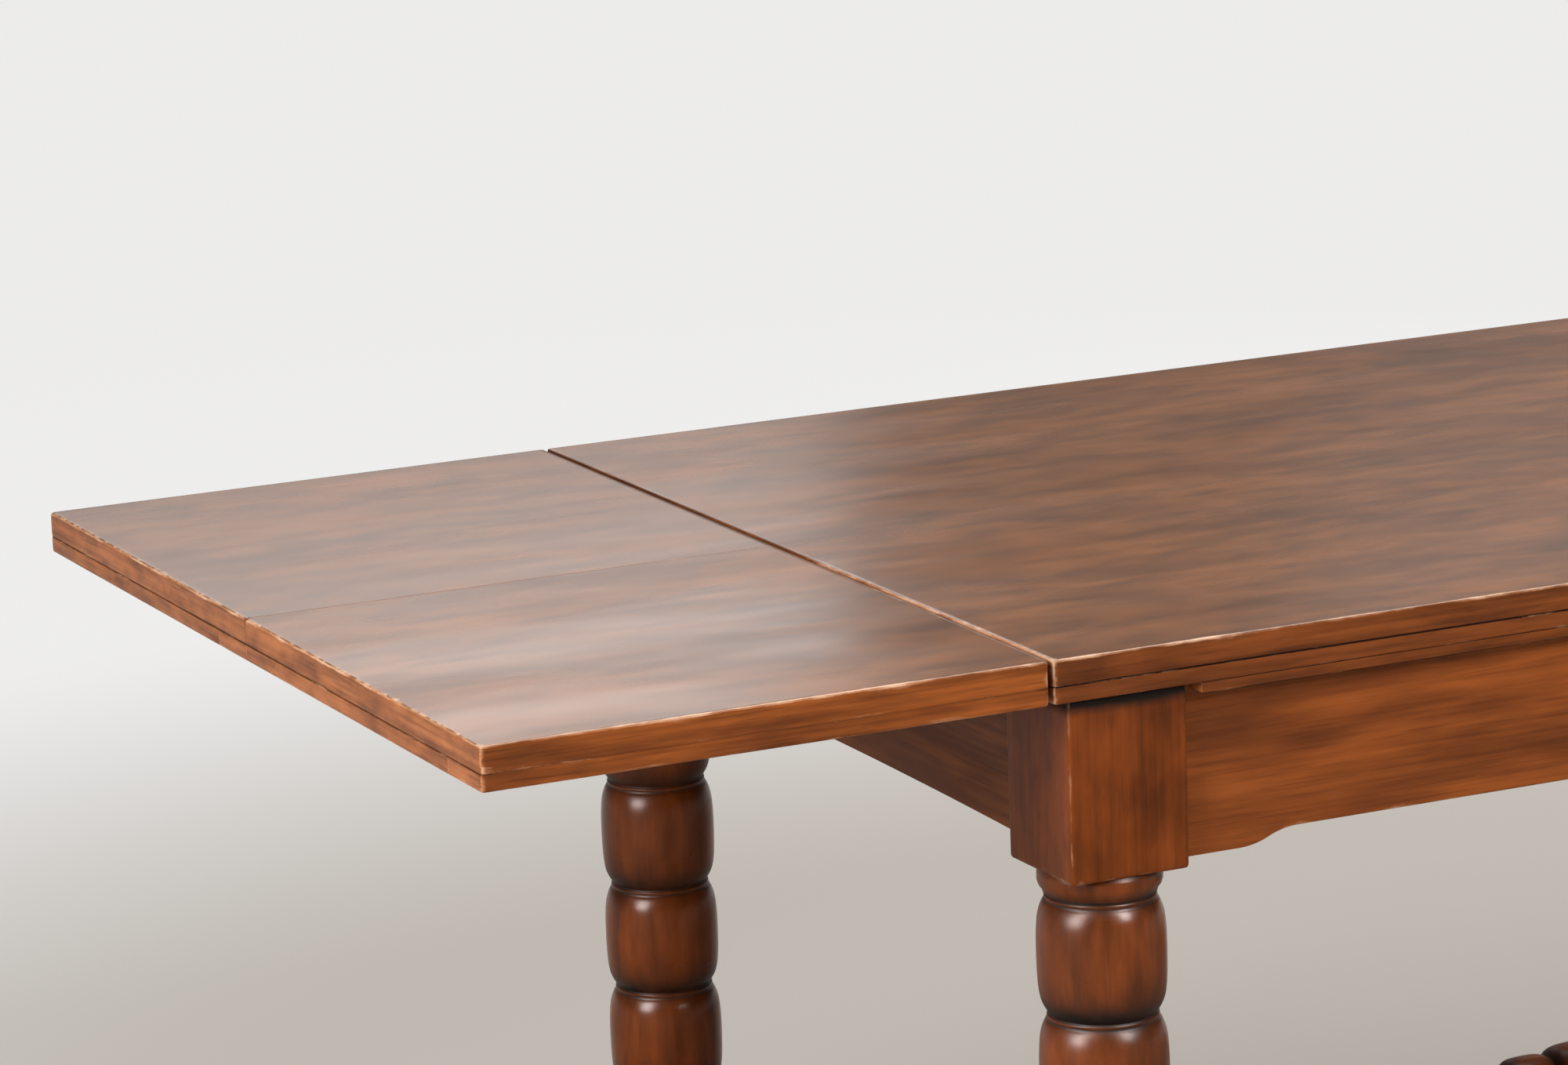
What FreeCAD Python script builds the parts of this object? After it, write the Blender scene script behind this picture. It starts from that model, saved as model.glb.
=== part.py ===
import FreeCAD, Part
import math
import os

# Extending dining table. The top stands on a frame of four bobbin-turned legs, four aprons and a box of turned
# stretchers. A leaf lies beyond each end of the top on two lopers, which slide out through the end apron. Each
# leaf is two halves on concealed hinges along the table's centre line, and folds upwards like a book.
# Frame: X along the table, Y across it with the front at -Y, Z up from the floor. Millimetres.

vec = FreeCAD.Vector
x_dir = vec(1, 0, 0)
y_dir = vec(0, 1, 0)
z_dir = vec(0, 0, 1)

# Overall sizes
table_height = 762.0
top_length = 1980.0
top_width = 914.0
leaf_length = 438.0
leaf_gap = 3.5
fold_gap = 0.4

# Top and leaves: a board with edging strips under its margin
board_thickness = 20.0
edging_thickness = 13.0
edging_width = 76.0
leaf_edging_width = 60.0
lip_height = 8.0
lip_leg_gap = 8.0
arris_radius = 2.5

# Legs
leg_size = 97.0
end_overhang = 15.0
side_overhang = 9.0
upper_block_height = 139.0
lower_block_height = 84.0
upper_collar_height = 20.0
lower_collar_height = 17.0
foot_height = 14.0
bobbin_count = 5
bobbin_diameter = 96.0
groove_diameter = 82.0
collar_diameter = 93.0
shoulder_length = 22.0
foot_diameter = 88.0
foot_arris = 4.0
block_arris = 3.0
turning_run_in = 1.0

# Glides
glide_diameter = 40.0
glide_thickness = 4.0

# Aprons
apron_thickness = 22.0
apron_setback = 7.5
apron_end_depth = 133.0
apron_rise = 10.5
apron_flat = 46.0
apron_ogee_run = 50.0
end_apron_depth = 122.0
end_apron_rise = 5.0
tenon_length = 40.0
tenon_thickness = 10.0
tenon_shoulder = 18.0
joint_clearance = 0.2

# Stretchers
stretcher_diameter = 39.0
stretcher_knop_diameter = 62.0
stretcher_knop_length = 62.0
stretcher_bobbin_diameter = 52.0
stretcher_bobbin_length = 46.0
stretcher_groove_diameter = 42.0
stretcher_shoulder = 14.0
stretcher_collar_length = 14.0
stretcher_collar_diameter = 54.0
stretcher_tenon_diameter = 24.0
stretcher_tenon_length = 34.0

# Rails across the frame
rail_thickness = 25.0
bearer_depth = 88.0
centre_rail_depth = 68.0
rail_housing = 6.0

# Lopers
loper_width = 34.0
loper_height = 40.0
loper_offset = 262.0
loper_tip_inset = 40.0
loper_home_proud = 6.0
loper_home_gap = 0.5
loper_clearance = 0.3
nose_length = 70.0
nose_height = 22.0
nose_tip_height = 11.0
nose_round = 2.2
peg_size = 10.0
peg_proud = 8.0
peg_inset = 18.0

# Cleats under the leaf halves
cleat_width = 36.0
cleat_height = 24.0
cleat_nose = 12.0
cleat_loper_gap = 4.0
cleat_end_gap = 6.0
cleat_screw_inset = 40.0

# Buttons that hold the top
button_width = 30.0
button_length = 32.0
button_height = 18.0
button_tongue = 8.0
button_tongue_height = 8.0
button_drop = 9.0
button_span = 650.0

# Screws
screw_diameter = 4.0
screw_head_diameter = 8.5
screw_head_height = 2.5
screw_clearance = 0.1
screw_bite = 12.0

# Concealed hinges
hinge_spacing = 220.0
hinge_length = 60.0
hinge_height = 12.0
hinge_depth = 20.0
hinge_clearance = 0.1
hinge_slot_depth = 15.0
hinge_rib = 5.0
hinge_rib_places = 5
hinge_wall = 1.6

# Levels and lines that follow from these
top_underside = table_height - board_thickness
frame_top = top_underside - edging_thickness
half_top = top_length / 2
half_width = top_width / 2
leg_x = half_top - end_overhang - leg_size / 2
leg_y = half_width - side_overhang - leg_size / 2
upper_block_bottom = frame_top - upper_block_height
lower_block_top = foot_height + lower_block_height
turning_bottom = lower_block_top + lower_collar_height
turning_top = upper_block_bottom - upper_collar_height
bobbin_pitch = (turning_top - turning_bottom) / bobbin_count
apron_y = half_width - side_overhang - apron_setback
apron_inner_y = apron_y - apron_thickness
end_apron_x = half_top - end_overhang - apron_setback
end_apron_inner_x = end_apron_x - apron_thickness
leg_inner_x = leg_x - leg_size / 2
leg_inner_y = leg_y - leg_size / 2
leaf_start = half_top + leaf_gap
leaf_end = leaf_start + leaf_length
stretcher_level = foot_height + lower_block_height / 2
loper_top = frame_top - loper_clearance
loper_bottom = loper_top - loper_height
loper_tip = leaf_end - loper_tip_inset
loper_tip_home = end_apron_x + loper_home_proud
loper_travel = loper_tip - loper_tip_home
loper_inner_home = rail_thickness / 2 + loper_home_gap
loper_length = loper_tip_home - loper_inner_home
loper_inner_end = loper_tip - loper_length
peg_x = loper_inner_end + peg_inset
bearer_x = peg_x + peg_size / 2 + loper_clearance

parts_folder = "parts"
os.makedirs(parts_folder, exist_ok=True)


def save(name, *solids):
    """One sub-part, as a single solid or a group of separate ones."""
    shape = solids[0] if len(solids) == 1 else Part.makeCompound(list(solids))
    if not shape.isValid():
        raise ValueError("invalid shape: " + name)
    shape.exportStep(os.path.join(parts_folder, name + ".step"))


def block(x0, x1, y0, y1, z0, z1):
    return Part.makeBox(x1 - x0, y1 - y0, z1 - z0, vec(x0, y0, z0))


def mirror_x(shape):
    return shape.mirror(vec(0, 0, 0), x_dir)


def mirror_y(shape):
    return shape.mirror(vec(0, 0, 0), y_dir)


def end_name(side):
    return "right" if side > 0 else "left"


def row_name(row):
    return "rear" if row > 0 else "front"


def line(start, end):
    return Part.LineSegment(start, end).toShape()


def arc_between(start, end, bulge):
    """An arc in the XZ plane from start to end whose middle stands bulge away from the chord, to the right of it."""
    chord = end - start
    side = vec(chord.z, 0, -chord.x)
    side.normalize()
    middle = (start + end) * 0.5 + side * bulge
    return Part.Arc(start, middle, end).toShape()


def edges_at(shape, level, axis="z"):
    """The edges that lie wholly at one level along an axis."""
    index = "xyz".index(axis)
    picked = []
    for edge in shape.Edges:
        if all(abs(v.Point[index] - level) < 1e-6 for v in edge.Vertexes):
            picked.append(edge)
    return picked


def upright_edges(shape):
    picked = []
    for edge in shape.Edges:
        ends = [v.Point for v in edge.Vertexes]
        if len(ends) == 2 and abs(ends[0].x - ends[1].x) < 1e-6 and abs(ends[0].y - ends[1].y) < 1e-6:
            picked.append(edge)
    return picked


def eased_board(x0, x1, y0, y1, z0, z1, eased):
    """A board whose upper edges are rounded on the named sides: any of x0, x1, y0, y1."""
    board = block(x0, x1, y0, y1, z0, z1)
    lines = {"x0": (0, x0), "x1": (0, x1), "y0": (1, y0), "y1": (1, y1)}
    picked = []
    for side in eased:
        axis, level = lines[side]
        for edge in edges_at(board, z1):
            if all(abs(v.Point[axis] - level) < 1e-6 for v in edge.Vertexes):
                picked.append(edge)
    return board.makeFillet(arris_radius, picked)


def screw(x, y, face, length):
    """A pan-head wood screw driven upwards, its head under the face that it bears on."""
    head = Part.makeCylinder(screw_head_diameter / 2, screw_head_height, vec(x, y, face - screw_head_height), z_dir)
    shank = Part.makeCylinder(screw_diameter / 2, length, vec(x, y, face), z_dir)
    return head.fuse(shank).removeSplitter()


def screw_hole(x, y, face, length):
    radius = screw_diameter / 2 + screw_clearance
    return Part.makeCylinder(radius, length + screw_clearance, vec(x, y, face), z_dir)


# Turned leg


def turned(profile):
    """A solid of revolution about Z from its outline, as (radius, level) from one end to the other."""
    points = [vec(0, 0, profile[0][1])]
    points += [vec(radius, 0, level) for radius, level in profile]
    points += [vec(0, 0, profile[-1][1]), points[0]]
    return Part.Face(Part.makePolygon(points)).revolve(vec(0, 0, 0), z_dir, 360)


def bobbin_run(start, lengths, diameters, groove, shoulder):
    """Profile points of a run of barrel-shaped bobbins that meet in sharp grooves."""
    profile = [(groove / 2, start)]
    base = start
    for length, diameter in zip(lengths, diameters):
        profile.append((diameter / 2, base + shoulder))
        profile.append((diameter / 2, base + length - shoulder))
        base += length
        profile.append((groove / 2, base))
    return profile


def leg_turning():
    """The turned lengths of a leg, which run a little way into its square blocks."""
    foot = foot_diameter / 2
    collar = collar_diameter / 2
    run_in = block_arris + turning_run_in
    profile = [
        (foot - foot_arris, glide_thickness),
        (foot, glide_thickness + foot_arris),
        (foot, foot_height + run_in),
        (collar, foot_height + run_in),
        (collar, lower_block_top),
    ]
    profile += bobbin_run(turning_bottom, [bobbin_pitch] * bobbin_count, [bobbin_diameter] * bobbin_count,
                          groove_diameter, shoulder_length)
    profile += [(collar, upper_block_bottom), (collar, upper_block_bottom + run_in)]
    return turned(profile)


def square_block(bottom, top):
    half = leg_size / 2
    blank = block(-half, half, -half, half, bottom, top)
    return blank.makeChamfer(block_arris, upright_edges(blank) + edges_at(blank, bottom))


def leg():
    """The rear right leg, with its axis on Z. The other three are its mirror images."""
    body = square_block(upper_block_bottom, frame_top).fuse(square_block(foot_height, lower_block_top))
    body = body.fuse(leg_turning()).removeSplitter()
    half = leg_size / 2
    # Mortises for the apron tenons, open at the leg's top
    mortise_half = tenon_thickness / 2 + joint_clearance
    apron_line = leg_size / 2 - apron_setback - apron_thickness / 2
    depth = tenon_length + joint_clearance
    long_bottom = frame_top - apron_end_depth + tenon_shoulder - joint_clearance
    short_bottom = frame_top - end_apron_depth + tenon_shoulder - joint_clearance
    body = body.cut(block(-half, -half + depth, apron_line - mortise_half, apron_line + mortise_half,
                          long_bottom, frame_top))
    body = body.cut(block(apron_line - mortise_half, apron_line + mortise_half, -half, -half + depth,
                          short_bottom, frame_top))
    # Round mortises for the stretchers
    hole_radius = stretcher_tenon_diameter / 2 + joint_clearance
    hole_depth = stretcher_tenon_length + joint_clearance
    for direction in (x_dir, y_dir):
        start = direction * -half + vec(0, 0, stretcher_level)
        body = body.cut(Part.makeCylinder(hole_radius, hole_depth, start, direction))
    return body


def place_leg(shape, side, row):
    if side < 0:
        shape = mirror_x(shape)
    if row < 0:
        shape = mirror_y(shape)
    return shape.translated(vec(side * leg_x, row * leg_y, 0))


one_leg = leg()
one_glide = Part.makeCylinder(glide_diameter / 2, glide_thickness)
glides = []
for side in (-1, 1):
    for row in (-1, 1):
        save("leg_" + row_name(row) + "_" + end_name(side), place_leg(one_leg, side, row))
        glides.append(place_leg(one_glide, side, row))
save("foot_glides", *glides)


# Turned stretchers between the legs' lower blocks


def stretcher(span):
    """A turned stretcher along Z: a rod with a knop between two bobbins at its middle, and a tenon at each end."""
    half = span / 2
    rod = stretcher_diameter / 2
    tenon = stretcher_tenon_diameter / 2
    collar = stretcher_collar_diameter / 2
    run = stretcher_knop_length + 2 * stretcher_bobbin_length
    reach = half + stretcher_tenon_length
    inner = half - stretcher_collar_length
    profile = [(tenon, -reach), (tenon, -half), (collar, -half), (collar, -inner), (rod, -inner), (rod, -run / 2)]
    lengths = [stretcher_bobbin_length, stretcher_knop_length, stretcher_bobbin_length]
    diameters = [stretcher_bobbin_diameter, stretcher_knop_diameter, stretcher_bobbin_diameter]
    profile += bobbin_run(-run / 2, lengths, diameters, stretcher_groove_diameter, stretcher_shoulder)
    profile += [(rod, run / 2), (rod, inner), (collar, inner), (collar, half), (tenon, half), (tenon, reach)]
    return turned(profile)


long_stretcher = stretcher(2 * leg_inner_x)
long_stretcher.rotate(vec(0, 0, 0), y_dir, 90)
end_stretcher = stretcher(2 * leg_inner_y)
end_stretcher.rotate(vec(0, 0, 0), x_dir, 90)
for row in (-1, 1):
    save("stretcher_" + row_name(row), long_stretcher.translated(vec(0, row * leg_y, stretcher_level)))
for side in (-1, 1):
    save("end_stretcher_" + end_name(side), end_stretcher.translated(vec(side * leg_x, 0, stretcher_level)))


# Buttons: each has a tongue in a slot of the apron, and is screwed up into the edging

button_places = (-button_span, button_span)
tongue_top = frame_top - button_drop + button_tongue_height / 2
tongue_bottom = tongue_top - button_tongue_height
button_screw_length = button_height + screw_bite


def button_slot(x, wall):
    """The slot for a button's tongue in the inner face of the rear apron."""
    half = button_width / 2 + joint_clearance
    return block(x - half, x + half, wall, wall + button_tongue + joint_clearance, tongue_bottom - joint_clearance,
                 tongue_top + joint_clearance)


# Aprons


def ogee(start, end):
    """An S-curve of two equal arcs that leaves and arrives level."""
    middle = (start + end) * 0.5
    run = abs(middle.x - start.x)
    rise = abs(middle.z - start.z)
    radius = (run ** 2 + rise ** 2) / (2 * rise)
    chord = math.hypot(run, rise)
    bulge = radius - math.sqrt(radius ** 2 - chord ** 2 / 4)
    if end.x > start.x and end.z > start.z or end.x < start.x and end.z < start.z:
        return [arc_between(start, middle, bulge), arc_between(middle, end, -bulge)]
    return [arc_between(start, middle, -bulge), arc_between(middle, end, bulge)]


def long_apron():
    """The rear apron: its lower edge steps up by an ogee at each end. The buttons and rails are housed in it."""
    low = frame_top - apron_end_depth
    high = low + apron_rise
    x1 = leg_inner_x
    x2 = x1 - apron_flat
    x3 = x2 - apron_ogee_run
    edges = [line(vec(-x1, 0, frame_top), vec(-x1, 0, low)), line(vec(-x1, 0, low), vec(-x2, 0, low))]
    edges += ogee(vec(-x2, 0, low), vec(-x3, 0, high))
    edges.append(line(vec(-x3, 0, high), vec(x3, 0, high)))
    edges += ogee(vec(x3, 0, high), vec(x2, 0, low))
    edges += [line(vec(x2, 0, low), vec(x1, 0, low)), line(vec(x1, 0, low), vec(x1, 0, frame_top))]
    edges.append(line(vec(x1, 0, frame_top), vec(-x1, 0, frame_top)))
    board = Part.Face(Part.Wire(edges)).extrude(y_dir * apron_thickness).translated(y_dir * apron_inner_y)
    middle = apron_inner_y + apron_thickness / 2
    reach = x1 + tenon_length
    tenon = block(-reach, reach, middle - tenon_thickness / 2, middle + tenon_thickness / 2, low + tenon_shoulder,
                  frame_top)
    board = board.fuse(tenon).removeSplitter()
    for x in button_places:
        board = board.cut(button_slot(x, apron_inner_y))
    for x in (-bearer_x - rail_thickness, bearer_x):
        board = board.cut(block(x, x + rail_thickness, apron_inner_y, apron_inner_y + rail_housing,
                                frame_top - bearer_depth, frame_top))
    return board.cut(block(-rail_thickness / 2, rail_thickness / 2, apron_inner_y, apron_inner_y + rail_housing,
                           frame_top - centre_rail_depth, frame_top))


def end_apron():
    """The right end apron: gently arched below, notched above for the two lopers."""
    low = frame_top - end_apron_depth
    span = leg_inner_y
    arch = Part.Arc(vec(0, -span, low), vec(0, 0, low + end_apron_rise), vec(0, span, low)).toShape()
    edges = [arch, line(vec(0, span, low), vec(0, span, frame_top))]
    edges.append(line(vec(0, span, frame_top), vec(0, -span, frame_top)))
    edges.append(line(vec(0, -span, frame_top), vec(0, -span, low)))
    board = Part.Face(Part.Wire(edges)).extrude(x_dir * apron_thickness).translated(x_dir * end_apron_inner_x)
    middle = end_apron_inner_x + apron_thickness / 2
    reach = span + tenon_length
    tenon = block(middle - tenon_thickness / 2, middle + tenon_thickness / 2, -reach, reach, low + tenon_shoulder,
                  frame_top)
    board = board.fuse(tenon).removeSplitter()
    for row in (-1, 1):
        board = board.cut(loper_passage(end_apron_inner_x, end_apron_x, row))
    return board.cut(button_slot(0, end_apron_inner_x).rotate(vec(0, 0, 0), z_dir, -90))


def loper_passage(x0, x1, row):
    """The way a loper takes through a cross piece, open up to the underside of the edging."""
    half = loper_width / 2 + loper_clearance
    centre = row * loper_offset
    return block(x0, x1, centre - half, centre + half, loper_bottom - loper_clearance, frame_top)


def button(x, wall):
    """A button at the inner face of the rear apron."""
    half = button_width / 2
    body = block(x - half, x + half, wall - button_length, wall, frame_top - button_height, frame_top)
    tongue = block(x - half, x + half, wall, wall + button_tongue, tongue_bottom, tongue_top)
    body = body.fuse(tongue).removeSplitter()
    return body.cut(button_screw_hole(x, wall))


def button_screw_hole(x, wall):
    return screw_hole(x, wall - button_length / 2, frame_top - button_height, button_screw_length)


buttons = []
button_screws = []
for x in button_places:
    buttons.append(button(x, apron_inner_y))
    button_screws.append(screw(x, apron_inner_y - button_length / 2, frame_top - button_height,
                               button_screw_length))
buttons += [mirror_y(one) for one in buttons]
button_screws += [mirror_y(one) for one in button_screws]
for angle in (-90, 90):
    buttons.append(button(0, end_apron_inner_x).rotate(vec(0, 0, 0), z_dir, angle))
    button_screws.append(screw(0, end_apron_inner_x - button_length / 2, frame_top - button_height,
                               button_screw_length).rotate(vec(0, 0, 0), z_dir, angle))
save("top_buttons", *buttons)
save("button_screws", *button_screws)

rear_apron = long_apron()
save("apron_rear", rear_apron)
save("apron_front", mirror_y(rear_apron))
right_end_apron = end_apron()
save("end_apron_right", right_end_apron)
save("end_apron_left", mirror_x(right_end_apron))


# Rails across the frame


def cross_rail(x0, depth):
    """A rail under the top board, housed in both long aprons and notched under their edgings."""
    reach = apron_inner_y + rail_housing
    clear = half_width - edging_width
    lower = block(x0, x0 + rail_thickness, -reach, reach, frame_top - depth, frame_top)
    upper = block(x0, x0 + rail_thickness, -clear, clear, frame_top, top_underside)
    return lower.fuse(upper).removeSplitter()


def bearer():
    """The right bearer: the lopers run through its mortises, and their pegs stop against its inner face."""
    rail = cross_rail(bearer_x, bearer_depth)
    for row in (-1, 1):
        rail = rail.cut(loper_passage(bearer_x, bearer_x + rail_thickness, row))
    return rail


right_bearer = bearer()
save("loper_bearer_right", right_bearer)
save("loper_bearer_left", mirror_x(right_bearer))
save("centre_rail", cross_rail(-rail_thickness / 2, centre_rail_depth))


# Main top


def top_edging_long():
    """The rear edging: between the legs a lip hangs from its outer edge, flush with it."""
    strip = block(-half_top, half_top, half_width - edging_width, half_width, frame_top, top_underside)
    lip_end = leg_inner_x - lip_leg_gap
    lip = block(-lip_end, lip_end, apron_y, half_width, frame_top - lip_height, frame_top)
    strip = strip.fuse(lip).removeSplitter()
    for x in button_places:
        strip = strip.cut(button_screw_hole(x, apron_inner_y))
    return strip


def top_edging_end():
    reach = half_width - edging_width
    strip = block(half_top - edging_width, half_top, -reach, reach, frame_top, top_underside)
    return strip.cut(button_screw_hole(0, end_apron_inner_x).rotate(vec(0, 0, 0), z_dir, -90))


save("top_board", eased_board(-half_top, half_top, -half_width, half_width, top_underside, table_height,
                              ("x0", "x1", "y0", "y1")))
rear_edging = top_edging_long()
save("top_edging_rear", rear_edging)
save("top_edging_front", mirror_y(rear_edging))
right_edging = top_edging_end()
save("top_edging_right", right_edging)
save("top_edging_left", mirror_x(right_edging))


# Lopers


def loper():
    """The rear right loper, drawn out: an ogee nose outside, a stop peg through it inside."""
    inner_top = vec(loper_inner_end, 0, loper_top)
    inner_bottom = vec(loper_inner_end, 0, loper_bottom)
    nose_start = vec(loper_tip - nose_length, 0, loper_bottom)
    nose_end = vec(loper_tip - nose_tip_height, 0, loper_top - nose_height)
    tip_bottom = vec(loper_tip, 0, loper_top - nose_tip_height)
    tip = vec(loper_tip, 0, loper_top)
    edges = [line(inner_top, inner_bottom), line(inner_bottom, nose_start)]
    edges += ogee(nose_start, nose_end)
    edges += [arc_between(nose_end, tip_bottom, nose_round), line(tip_bottom, tip), line(tip, inner_top)]
    bar = Part.Face(Part.Wire(edges)).extrude(y_dir * loper_width)
    bar.translate(y_dir * (loper_offset - loper_width / 2))
    return bar.cut(peg(joint_clearance / 2))


def peg(extra=0.0):
    """The square stop peg across the loper, or the hole for it when made larger."""
    half = peg_size / 2 + extra
    reach = loper_width / 2 + peg_proud
    level = loper_top - loper_height / 2
    return block(peg_x - half, peg_x + half, loper_offset - reach, loper_offset + reach, level - half, level + half)


one_loper = loper()
one_peg = peg()


# Leaf halves


def hinge_pocket(x, depth, extra):
    """The mortise for a hinge cup in the rear half's meeting edge, or the cup's own outline with nothing extra."""
    half_length = hinge_length / 2 + extra
    half_height = hinge_height / 2 + extra
    level = table_height - board_thickness / 2
    return block(x - half_length, x + half_length, fold_gap / 2, fold_gap / 2 + depth + extra, level - half_height,
                 level + half_height)


def hinge_cup(x, ribs):
    """A hinge cup: ribs stand in its slot, and the facing cup's ribs pass between them when the leaf folds."""
    cup = hinge_pocket(x, hinge_depth, 0)
    level = table_height - board_thickness / 2
    half = hinge_height / 2 - hinge_wall
    reach = hinge_length / 2 - hinge_wall
    back = fold_gap / 2 + hinge_slot_depth
    slot = block(x - reach, x + reach, fold_gap / 2, back, level - half, level + half)
    spacing = 2 * reach / hinge_rib_places
    for number in ribs:
        middle = x - reach + (number + 0.5) * spacing
        slot = slot.cut(block(middle - hinge_rib / 2, middle + hinge_rib / 2, fold_gap / 2, back, level - half,
                              level + half))
    return cup.cut(slot)


leaf_middle = leaf_start + leaf_length / 2
hinge_places = (leaf_middle - hinge_spacing / 2, leaf_middle + hinge_spacing / 2)
cleat_start = leaf_start + leaf_edging_width + cleat_end_gap
cleat_end = leaf_end - leaf_edging_width - cleat_end_gap
cleat_outer = loper_offset - loper_width / 2 - cleat_loper_gap
cleat_inner = cleat_outer - cleat_width
cleat_middle = (cleat_inner + cleat_outer) / 2
cleat_bottom = top_underside - cleat_height
cleat_screw_places = (cleat_start + cleat_screw_inset, cleat_end - cleat_screw_inset)
cleat_screw_length = cleat_height + screw_bite


def leaf_board():
    """The rear half of the right leaf. Its meeting edge stays sharp."""
    board = eased_board(leaf_start, leaf_end, fold_gap / 2, half_width, top_underside, table_height,
                        ("x0", "x1", "y1"))
    for x in hinge_places:
        board = board.cut(hinge_pocket(x, hinge_depth, hinge_clearance))
    for x in cleat_screw_places:
        board = board.cut(screw_hole(x, cleat_middle, cleat_bottom, cleat_screw_length))
    return board


def leaf_long_edgings():
    side = block(leaf_start, leaf_end, half_width - leaf_edging_width, half_width, frame_top, top_underside)
    fold = block(leaf_start, leaf_end, fold_gap / 2, fold_gap / 2 + leaf_edging_width, frame_top, top_underside)
    return [side, fold]


def leaf_end_edgings():
    y0 = fold_gap / 2 + leaf_edging_width
    y1 = half_width - leaf_edging_width
    inner = block(leaf_start, leaf_start + leaf_edging_width, y0, y1, frame_top, top_underside)
    outer = block(leaf_end - leaf_edging_width, leaf_end, y0, y1, frame_top, top_underside)
    return [inner, outer]


def cleat():
    """A batten beside the loper, bevelled at its ends, which keeps the leaf from sliding sideways."""
    bevel = cleat_height - cleat_nose
    outline = [
        vec(cleat_start, 0, top_underside),
        vec(cleat_end, 0, top_underside),
        vec(cleat_end, 0, top_underside - cleat_nose),
        vec(cleat_end - bevel, 0, cleat_bottom),
        vec(cleat_start + bevel, 0, cleat_bottom),
        vec(cleat_start, 0, top_underside - cleat_nose),
    ]
    batten = Part.Face(Part.makePolygon(outline + outline[:1])).extrude(y_dir * cleat_width)
    batten.translate(y_dir * cleat_inner)
    for x in cleat_screw_places:
        batten = batten.cut(screw_hole(x, cleat_middle, cleat_bottom, cleat_screw_length))
    return batten


def leaf_solids(ribs):
    """Everything on the rear half of the right leaf, by the last part of its name."""
    return {
        "board": [leaf_board()],
        "long_edgings": leaf_long_edgings(),
        "end_edgings": leaf_end_edgings(),
        "cleat": [cleat()],
        "cleat_screws": [screw(x, cleat_middle, cleat_bottom, cleat_screw_length) for x in cleat_screw_places],
        "hinge_cups": [hinge_cup(x, ribs) for x in hinge_places],
    }


front_ribs = range(0, hinge_rib_places, 2)
rear_ribs = range(1, hinge_rib_places, 2)
for row, ribs in ((-1, front_ribs), (1, rear_ribs)):
    for kind, solids in leaf_solids(ribs).items():
        if row < 0:
            solids = [mirror_y(one) for one in solids]
        save("leaf_right_" + row_name(row) + "_" + kind, *solids)
        save("leaf_left_" + row_name(row) + "_" + kind, *[mirror_x(one) for one in solids])
    bar = one_loper if row > 0 else mirror_y(one_loper)
    stop = one_peg if row > 0 else mirror_y(one_peg)
    save("loper_right_" + row_name(row), bar)
    save("loper_left_" + row_name(row), mirror_x(bar))
    save("loper_peg_right_" + row_name(row), stop)
    save("loper_peg_left_" + row_name(row), mirror_x(stop))
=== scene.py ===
import functools
import math

import bmesh
import bpy
from mathutils import Matrix, Vector, noise


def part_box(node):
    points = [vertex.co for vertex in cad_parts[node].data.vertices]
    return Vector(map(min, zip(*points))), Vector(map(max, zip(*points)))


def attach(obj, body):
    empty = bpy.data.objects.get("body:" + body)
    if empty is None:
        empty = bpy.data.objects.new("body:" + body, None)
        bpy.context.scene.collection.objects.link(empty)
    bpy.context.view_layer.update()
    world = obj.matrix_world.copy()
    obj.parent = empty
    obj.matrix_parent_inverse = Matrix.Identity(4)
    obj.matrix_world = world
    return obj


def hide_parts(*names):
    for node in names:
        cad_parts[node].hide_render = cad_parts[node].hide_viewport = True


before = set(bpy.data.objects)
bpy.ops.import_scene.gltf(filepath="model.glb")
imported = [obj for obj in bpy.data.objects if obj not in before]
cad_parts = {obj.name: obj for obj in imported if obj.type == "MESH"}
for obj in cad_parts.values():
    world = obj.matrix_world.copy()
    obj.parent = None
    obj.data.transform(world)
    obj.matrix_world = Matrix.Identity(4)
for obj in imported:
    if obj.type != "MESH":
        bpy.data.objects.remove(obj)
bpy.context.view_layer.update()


# Room: a plain pale floor that runs far out on every side, and a plain sky that is pale only low down. Neither is
# part of the table. The floor is painted darker near the table, a painted shade round it, and whitens away from it.
# Far out the floor shines of itself to what looks at it, and near the table hardly at all, so that it keeps the
# table's shadow.
floor_reach = 60.0
# Near the table the floor is a darker colour: a painted shade round the table.
floor_near = (0.47, 0.435, 0.395)
floor_far = (0.86, 0.855, 0.845)
floor_near_glow = 0.25
floor_far_glow = 0.97
whitens_from = 1.5
whitens_to = 3.2
sky_low = (0.83, 0.825, 0.815)
sky_high = (0.16, 0.16, 0.165)
sky_pale_up_to = 0.14


def node_adder(tree, family=""):
    """A function that adds a node of the family to the tree, with its settings, links and values. A node given as
    a source stands for its first output."""

    def add(kind, sockets=None, **settings):
        node = tree.nodes.new(family + kind)
        for key, value in settings.items():
            setattr(node, key, value)
        for socket, source in (sockets or {}).items():
            if isinstance(source, bpy.types.Node):
                source = source.outputs[0]
            if isinstance(source, bpy.types.NodeSocket):
                tree.links.new(source, node.inputs[socket])
            else:
                node.inputs[socket].default_value = source
        return node

    return add


def shader_nodes(owner):
    """Empties a material's or world's tree, and returns a function that adds shader nodes to it."""
    owner.use_nodes = True
    owner.node_tree.nodes.clear()
    return node_adder(owner.node_tree, "ShaderNode")


def show(name, data, *materials):
    """A new object in the scene, at its origin, of a lamp, a camera or a mesh with its materials."""
    piece = bpy.data.objects.new(name, data)
    bpy.context.scene.collection.objects.link(piece)
    for material in materials:
        data.materials.append(material)
    return piece


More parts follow.
